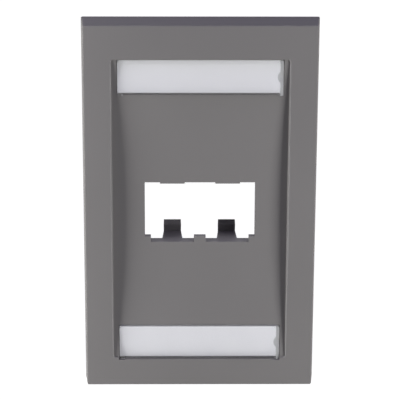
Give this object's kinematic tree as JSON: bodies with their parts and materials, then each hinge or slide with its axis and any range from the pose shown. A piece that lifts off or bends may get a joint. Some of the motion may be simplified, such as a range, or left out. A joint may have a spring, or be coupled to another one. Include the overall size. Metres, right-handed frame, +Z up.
{
  "type": "wall plate",
  "caption": "Single-gang data wall plate with raised side rails, a dished panel, a paired module opening with latch tongues, and clear label windows over the fixing screws.",
  "frame": {"origin": "middle of the rear rim, on the wall plane halfway between the two fixing screws", "axes": "+Z up the plate, +Y into the wall along the screws, the front faces -Y"},
  "size_m": [0.0698, 0.0208, 0.1142],
  "materials": {
    "moulding": "fine matte grey moulding",
    "window": "clear, polished",
    "card": "white card, matte",
    "screw": "zinc plated"
  },
  "bodies": {
    "plate": {"faceplate": "moulding", "upper_mounting_screw": "screw", "lower_mounting_screw": "screw"},
    "upper_window": {"upper_label_cover": "window", "upper_label": "card"},
    "lower_window": {"lower_label_cover": "window", "lower_label": "card"}
  },
  "joints": [
    {"name": "upper_window_pull", "type": "slide", "parent": "plate", "child": "upper_window", "axis": [0, -1, 0], "range_m": [0, 0.02]},
    {"name": "lower_window_pull", "type": "slide", "parent": "plate", "child": "lower_window", "axis": [0, -1, 0], "range_m": [0, 0.02]}
  ]
}
